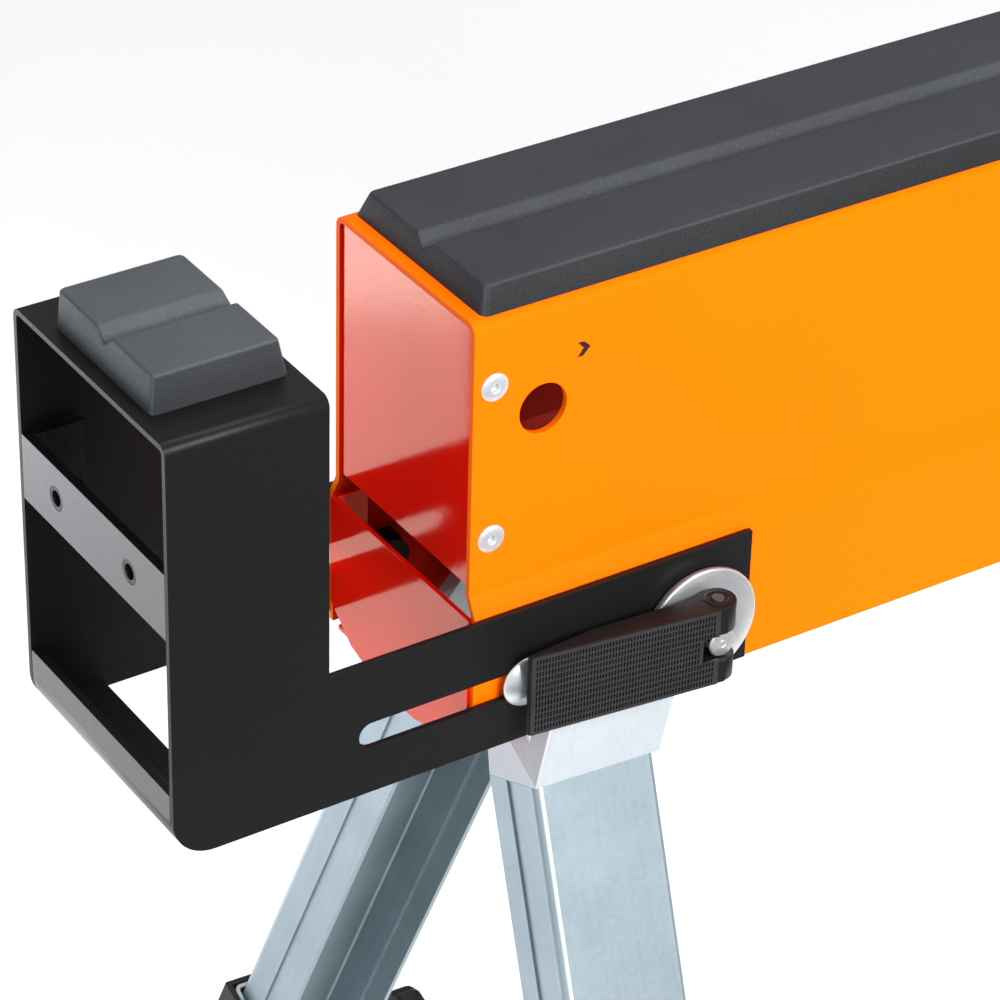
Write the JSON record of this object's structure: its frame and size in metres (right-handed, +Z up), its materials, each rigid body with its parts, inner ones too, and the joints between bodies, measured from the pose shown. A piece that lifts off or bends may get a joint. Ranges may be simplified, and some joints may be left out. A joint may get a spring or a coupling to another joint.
{
  "type": "folding sawhorse",
  "caption": "Folding sawhorse with a pressed steel beam, padded top, sliding end jaw with cam clamp, and splayed telescopic channel legs that fold into the beam.",
  "frame": {"origin": "on the floor, under the centre of the object's bounding box", "axes": "+X along the beam away from the sliding jaw, +Y across the beam towards the side without the cam lever, +Z up"},
  "size_m": [1.1163, 0.583, 0.762],
  "materials": {
    "orange_paint": "gloss powder coat",
    "plate_paint": "gloss powder coat",
    "pad_rubber": "fine grained matte",
    "black_paint": "semi-gloss powder coat",
    "galvanised": "galvanised, faint spangle",
    "bright_galvanised": "bright zinc",
    "black_plastic": "fine textured",
    "foot_rubber": "matte",
    "spring_steel": "plain",
    "aluminium_rivet": "satin",
    "zinc_plate": "bright zinc plate"
  },
  "bodies": {
    "beam": {"beam_shell": "orange_paint", "beam_pad": "pad_rubber", "left_upper_plate": "plate_paint", "left_lower_plate": "plate_paint", "right_upper_plate": "plate_paint", "right_lower_plate": "plate_paint", "plate_rivets": "aluminium_rivet", "guide_bolts": "zinc_plate", "guide_nuts": "black_plastic", "clamp_bolt": "zinc_plate", "clamp_washers": "zinc_plate", "far_bolt": "zinc_plate", "far_nut": "zinc_plate", "pivot_bosses": "orange_paint", "pivot_bolts": "zinc_plate", "pivot_washers": "zinc_plate", "lever_pin": "zinc_plate"},
    "jaw": {"jaw_frame": "black_paint", "jaw_crossbar": "black_paint", "jaw_bottom_bar": "black_paint", "jaw_pad": "pad_rubber", "jaw_inserts": "zinc_plate"},
    "lever": {"cam_lever": "black_plastic"},
    "left_near_leg": {"left_near_knuckle": "bright_galvanised", "left_near_upper_leg": "galvanised"},
    "left_near_extension": {"left_near_lower_leg": "galvanised", "left_near_collar": "black_plastic", "left_near_spring": "spring_steel", "left_near_foot": "foot_rubber"},
    "left_near_lock": {"left_near_lock_knob": "black_plastic"},
    "left_far_leg": {"left_far_knuckle": "bright_galvanised", "left_far_upper_leg": "galvanised"},
    "left_far_extension": {"left_far_lower_leg": "galvanised", "left_far_collar": "black_plastic", "left_far_spring": "spring_steel", "left_far_foot": "foot_rubber"},
    "left_far_lock": {"left_far_lock_knob": "black_plastic"},
    "right_near_leg": {"right_near_knuckle": "bright_galvanised", "right_near_upper_leg": "galvanised"},
    "right_near_extension": {"right_near_lower_leg": "galvanised", "right_near_collar": "black_plastic", "right_near_spring": "spring_steel", "right_near_foot": "foot_rubber"},
    "right_near_lock": {"right_near_lock_knob": "black_plastic"},
    "right_far_leg": {"right_far_knuckle": "bright_galvanised", "right_far_upper_leg": "galvanised"},
    "right_far_extension": {"right_far_lower_leg": "galvanised", "right_far_collar": "black_plastic", "right_far_spring": "spring_steel", "right_far_foot": "foot_rubber"},
    "right_far_lock": {"right_far_lock_knob": "black_plastic"}
  },
  "joints": [
    {"name": "jaw_slide", "type": "slide", "parent": "beam", "child": "jaw", "axis": [1, 0, 0], "range_m": [0, 0.05]},
    {"name": "lever_swing", "type": "hinge", "parent": "beam", "child": "lever", "pos_m": [-0.36615, -0.057, 0.6252], "axis": [0, 0, 1], "range_deg": [0, 100]},
    {"name": "left_near_fold", "type": "hinge", "parent": "beam", "child": "left_near_leg", "pos_m": [-0.39704, -0.03199, 0.61374], "axis": [0.1919, -0.9645, 0.1814], "range_deg": [0, 95.27]},
    {"name": "left_near_extend", "type": "slide", "parent": "left_near_leg", "child": "left_near_extension", "axis": [0.0516, 0.3827, 0.9224], "range_m": [-0.15, 0]},
    {"name": "left_near_pull_pin", "type": "slide", "parent": "left_near_extension", "child": "left_near_lock", "axis": [0.9984, 0, -0.0558], "range_m": [-0.0055, 0]},
    {"name": "left_far_fold", "type": "hinge", "parent": "beam", "child": "left_far_leg", "pos_m": [-0.39704, 0.03199, 0.61374], "axis": [-0.1919, -0.9645, -0.1814], "range_deg": [0, 95.27]},
    {"name": "left_far_extend", "type": "slide", "parent": "left_far_leg", "child": "left_far_extension", "axis": [0.0516, -0.3827, 0.9224], "range_m": [-0.15, 0]},
    {"name": "left_far_pull_pin", "type": "slide", "parent": "left_far_extension", "child": "left_far_lock", "axis": [0.9984, 0, -0.0558], "range_m": [-0.0055, 0]},
    {"name": "right_near_fold", "type": "hinge", "parent": "beam", "child": "right_near_leg", "pos_m": [0.43455, -0.0223, 0.60882], "axis": [0.1919, 0.9645, -0.1814], "range_deg": [0, 95.27]},
    {"name": "right_near_extend", "type": "slide", "parent": "right_near_leg", "child": "right_near_extension", "axis": [-0.0516, 0.3827, 0.9224], "range_m": [-0.15, 0]},
    {"name": "right_near_pull_pin", "type": "slide", "parent": "right_near_extension", "child": "right_near_lock", "axis": [0.9984, 0, 0.0558], "range_m": [-0.0055, 0]},
    {"name": "right_far_fold", "type": "hinge", "parent": "beam", "child": "right_far_leg", "pos_m": [0.43455, 0.0223, 0.60882], "axis": [-0.1919, 0.9645, 0.1814], "range_deg": [0, 95.27]},
    {"name": "right_far_extend", "type": "slide", "parent": "right_far_leg", "child": "right_far_extension", "axis": [-0.0516, -0.3827, 0.9224], "range_m": [-0.15, 0]},
    {"name": "right_far_pull_pin", "type": "slide", "parent": "right_far_extension", "child": "right_far_lock", "axis": [0.9984, 0, 0.0558], "range_m": [-0.0055, 0]}
  ]
}
